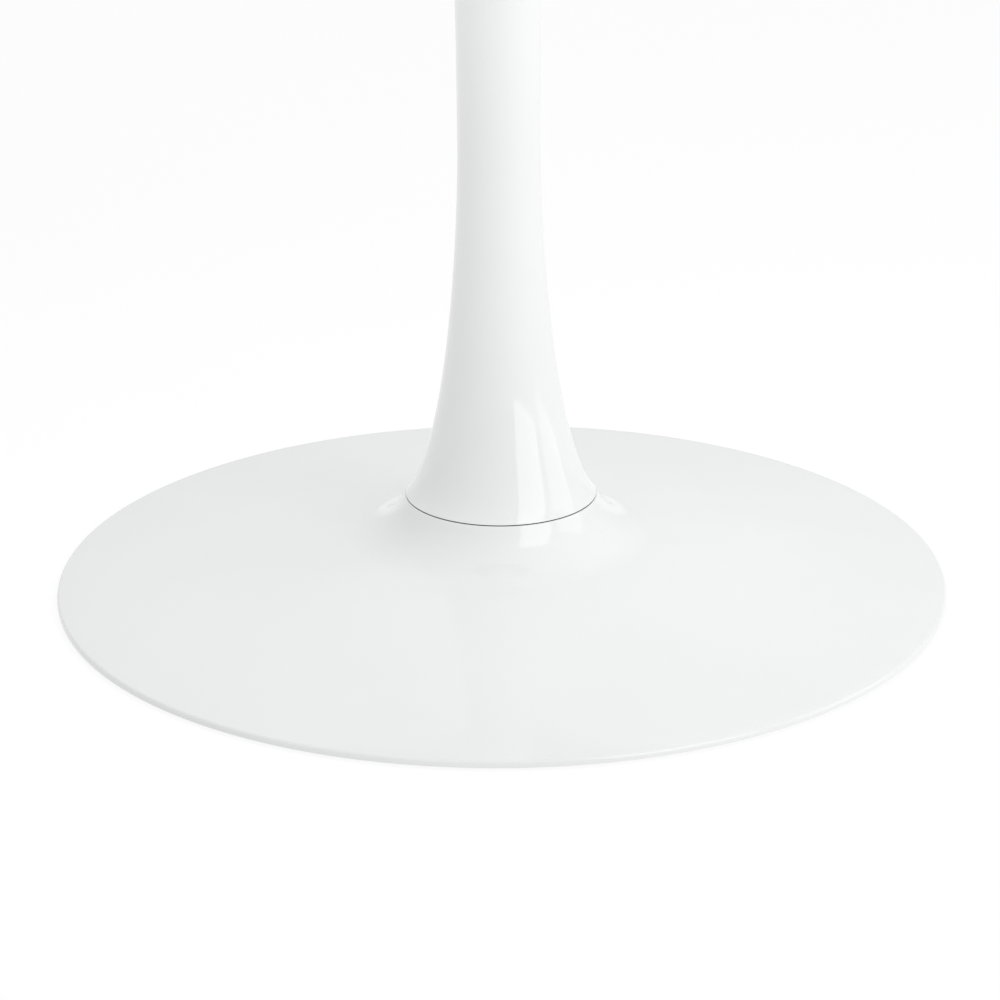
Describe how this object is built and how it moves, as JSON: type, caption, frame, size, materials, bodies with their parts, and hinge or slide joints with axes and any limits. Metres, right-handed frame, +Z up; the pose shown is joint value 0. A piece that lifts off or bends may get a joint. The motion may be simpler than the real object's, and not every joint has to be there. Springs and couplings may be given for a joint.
{
  "type": "round pedestal table",
  "caption": "Round dining table on a flared steel column and a shallow conical weighted foot with levelling glides.",
  "frame": {"origin": "on the floor, on the column's axis", "axes": "+Z up along the column; +X and +Y level, the glides at 45 degrees between them"},
  "size_m": [1.03, 1.03, 0.75],
  "materials": {
    "white_paint": "gloss powder coat",
    "white_lacquer": "gloss lacquer over fibreboard",
    "dark_gasket": "matte moulded rubber",
    "cast_iron": "as cast, black primer",
    "zinc_steel": "zinc plated",
    "plate_paint": "satin black powder coat",
    "brass": "machined",
    "foam": "closed-cell foam",
    "nylon": "moulded nylon",
    "sole_rubber": "matte rubber"
  },
  "bodies": {
    "base": {"base_shell": "white_paint", "stem_column": "white_paint", "seam_gasket": "dark_gasket", "top_gasket": "dark_gasket", "tabletop": "white_lacquer", "top_plate": "plate_paint", "rod_socket": "zinc_steel", "plate_screws": "zinc_steel", "plate_screw_washers": "zinc_steel", "top_inserts": "brass", "base_weight": "cast_iron", "base_hub": "cast_iron", "hub_bolts": "zinc_steel", "hub_bolt_washers": "zinc_steel", "shell_cushion_ring": "foam", "column_dowels": "zinc_steel", "tie_rod": "zinc_steel", "rod_plate_washer": "zinc_steel", "rod_lock_washer": "zinc_steel", "rod_nut": "zinc_steel", "glide_bushes": "zinc_steel"},
    "glide_1_foot": {"glide_1_pad": "nylon", "glide_1_sole": "sole_rubber"},
    "glide_1_screw": {"glide_1_stud": "zinc_steel"},
    "glide_2_foot": {"glide_2_pad": "nylon", "glide_2_sole": "sole_rubber"},
    "glide_2_screw": {"glide_2_stud": "zinc_steel"},
    "glide_3_foot": {"glide_3_pad": "nylon", "glide_3_sole": "sole_rubber"},
    "glide_3_screw": {"glide_3_stud": "zinc_steel"},
    "glide_4_foot": {"glide_4_pad": "nylon", "glide_4_sole": "sole_rubber"},
    "glide_4_screw": {"glide_4_stud": "zinc_steel"}
  },
  "joints": [
    {"name": "glide_1_travel", "type": "slide", "parent": "base", "child": "glide_1_foot", "axis": [0, 0, -1], "range_m": [0, 0.00375]},
    {"name": "glide_1_turn", "type": "hinge", "parent": "glide_1_foot", "child": "glide_1_screw", "pos_m": [0.17324, 0.17324, 0.005], "axis": [0, 0, -1], "range_deg": [0, 1080]},
    {"name": "glide_2_travel", "type": "slide", "parent": "base", "child": "glide_2_foot", "axis": [0, 0, -1], "range_m": [0, 0.00375]},
    {"name": "glide_2_turn", "type": "hinge", "parent": "glide_2_foot", "child": "glide_2_screw", "pos_m": [-0.17324, 0.17324, 0.005], "axis": [0, 0, -1], "range_deg": [0, 1080]},
    {"name": "glide_3_travel", "type": "slide", "parent": "base", "child": "glide_3_foot", "axis": [0, 0, -1], "range_m": [0, 0.00375]},
    {"name": "glide_3_turn", "type": "hinge", "parent": "glide_3_foot", "child": "glide_3_screw", "pos_m": [-0.17324, -0.17324, 0.005], "axis": [0, 0, -1], "range_deg": [0, 1080]},
    {"name": "glide_4_travel", "type": "slide", "parent": "base", "child": "glide_4_foot", "axis": [0, 0, -1], "range_m": [0, 0.00375]},
    {"name": "glide_4_turn", "type": "hinge", "parent": "glide_4_foot", "child": "glide_4_screw", "pos_m": [0.17324, -0.17324, 0.005], "axis": [0, 0, -1], "range_deg": [0, 1080]}
  ],
  "couplings": [
    {"joint": "glide_1_travel", "follows": "glide_1_turn", "m_per_rad": 0.00019894},
    {"joint": "glide_2_travel", "follows": "glide_2_turn", "m_per_rad": 0.00019894},
    {"joint": "glide_3_travel", "follows": "glide_3_turn", "m_per_rad": 0.00019894},
    {"joint": "glide_4_travel", "follows": "glide_4_turn", "m_per_rad": 0.00019894}
  ]
}
